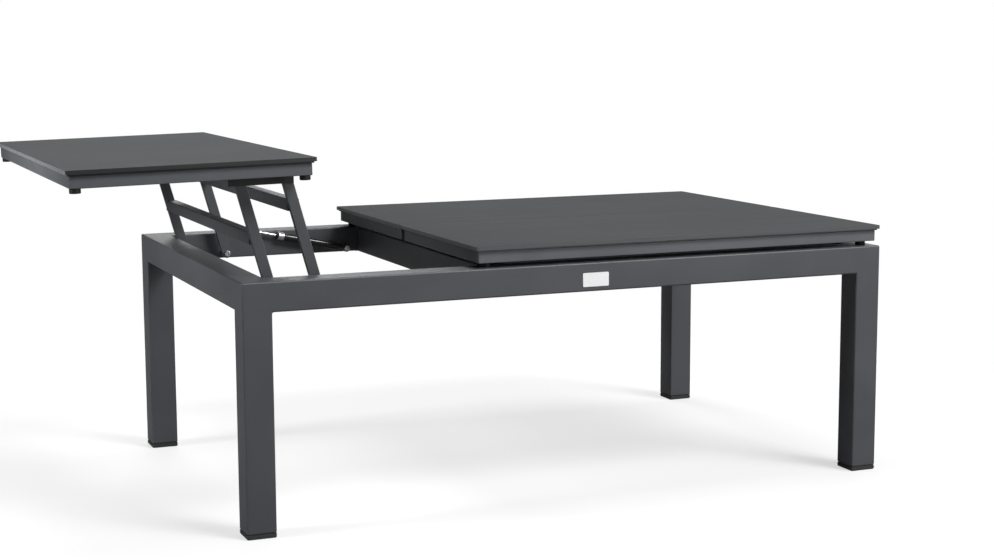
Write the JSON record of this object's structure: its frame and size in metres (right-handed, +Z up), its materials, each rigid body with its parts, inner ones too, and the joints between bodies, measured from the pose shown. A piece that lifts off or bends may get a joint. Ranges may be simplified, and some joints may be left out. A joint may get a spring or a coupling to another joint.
{
  "type": "lift-top garden table",
  "caption": "Low rectangular garden table on a square-tube frame, with a panel at one end that lifts up and outwards on parallel arms and a gas strut.",
  "frame": {"origin": "on the floor, below the middle of the overall length with the lifting panel raised, and midway between front and rear", "axes": "+X runs along the table from the lifting end to the fixed end, +Y to the rear side with the gas strut, +Z up"},
  "size_m": [1.4696, 0.761, 0.6157],
  "materials": {
    "frame_paint": "satin powder coat, anthracite",
    "top_board": "matte compact board, slate grey",
    "foot_cap": "matte, black",
    "rubber_pad": "matte, black",
    "plain_plate": "smooth, off-white, blank",
    "bright_steel": "zinc plated",
    "polished_rod": "polished",
    "strut_black": "gloss black"
  },
  "bodies": {
    "base": {"rail_left": "frame_paint", "rail_right": "frame_paint", "rail_front": "frame_paint", "leg_front_left": "frame_paint", "foot_front_left": "foot_cap", "leg_front_right": "frame_paint", "foot_front_right": "foot_cap", "rail_rear": "frame_paint", "leg_rear_left": "frame_paint", "foot_rear_left": "foot_cap", "leg_rear_right": "frame_paint", "foot_rear_right": "foot_cap", "rail_cross": "frame_paint", "rail_middle": "frame_paint", "blank_badge": "plain_plate", "fixed_board_front": "top_board", "fixed_front_tube_front": "frame_paint", "fixed_front_tube_rear": "frame_paint", "fixed_front_tube_left": "frame_paint", "fixed_front_tube_right": "frame_paint", "fixed_bumpers_front": "rubber_pad", "fixed_board_rear": "top_board", "fixed_rear_tube_front": "frame_paint", "fixed_rear_tube_rear": "frame_paint", "fixed_rear_tube_left": "frame_paint", "fixed_rear_tube_right": "frame_paint", "fixed_bumpers_rear": "rubber_pad", "lower_bolts_left": "bright_steel", "lower_bolts_right": "bright_steel", "pivot_spacers": "bright_steel", "rivet_nuts": "bright_steel", "strut_anchor_bolt": "bright_steel", "strut_anchor_spacer": "bright_steel"},
    "left_arm_frame": {"arm_left_front": "frame_paint", "arm_left_rear": "frame_paint", "crossbar_left": "frame_paint"},
    "lift_top": {"lift_board": "top_board", "lift_tube_front": "frame_paint", "lift_tube_rear": "frame_paint", "lift_tube_left": "frame_paint", "lift_tube_right": "frame_paint", "lift_bumpers": "rubber_pad", "lift_bracket_front": "frame_paint", "lift_bracket_rear": "frame_paint", "upper_bolts_left": "bright_steel", "upper_bolts_right": "bright_steel", "upper_nuts": "bright_steel"},
    "right_arm_frame": {"arm_right_front": "frame_paint", "arm_right_rear": "frame_paint", "crossbar_right": "frame_paint"},
    "strut_cylinder": {"strut_tail_eye": "strut_black", "strut_cylinder": "strut_black", "strut_collar": "bright_steel", "strut_seal": "rubber_pad"},
    "strut_rod": {"strut_rod": "polished_rod", "strut_piston": "bright_steel", "strut_rod_eye": "bright_steel"}
  },
  "joints": [
    {"name": "left_arm_hinge", "type": "hinge", "parent": "base", "child": "left_arm_frame", "pos_m": [-0.39324, 0, 0.382], "axis": [0, 1, 0], "range_deg": [0, 91.1]},
    {"name": "lift_top_hinge", "type": "hinge", "parent": "left_arm_frame", "child": "lift_top", "pos_m": [-0.45113, 0, 0.59217], "axis": [0, 1, 0], "range_deg": [-89.9, 0]},
    {"name": "right_arm_hinge", "type": "hinge", "parent": "base", "child": "right_arm_frame", "pos_m": [-0.31329, 0, 0.382], "axis": [0, 1, 0], "range_deg": [0, 91.7]},
    {"name": "strut_swing", "type": "hinge", "parent": "base", "child": "strut_cylinder", "pos_m": [-0.06324, 0.321, 0.3785], "axis": [0, 1, 0], "range_deg": [-7.43, 0]},
    {"name": "strut_slide", "type": "slide", "parent": "strut_cylinder", "child": "strut_rod", "axis": [-0.9766, 0, 0.2152], "range_m": [-0.07616, 0]}
  ],
  "couplings": [
    {"joint": "lift_top_hinge", "follows": "left_arm_hinge", "ratio": -0.98683},
    {"joint": "right_arm_hinge", "follows": "left_arm_hinge", "ratio": 1.0066},
    {"joint": "strut_swing", "follows": "left_arm_hinge", "ratio": -0.081536},
    {"joint": "strut_slide", "follows": "left_arm_hinge", "m_per_rad": -0.047898}
  ]
}
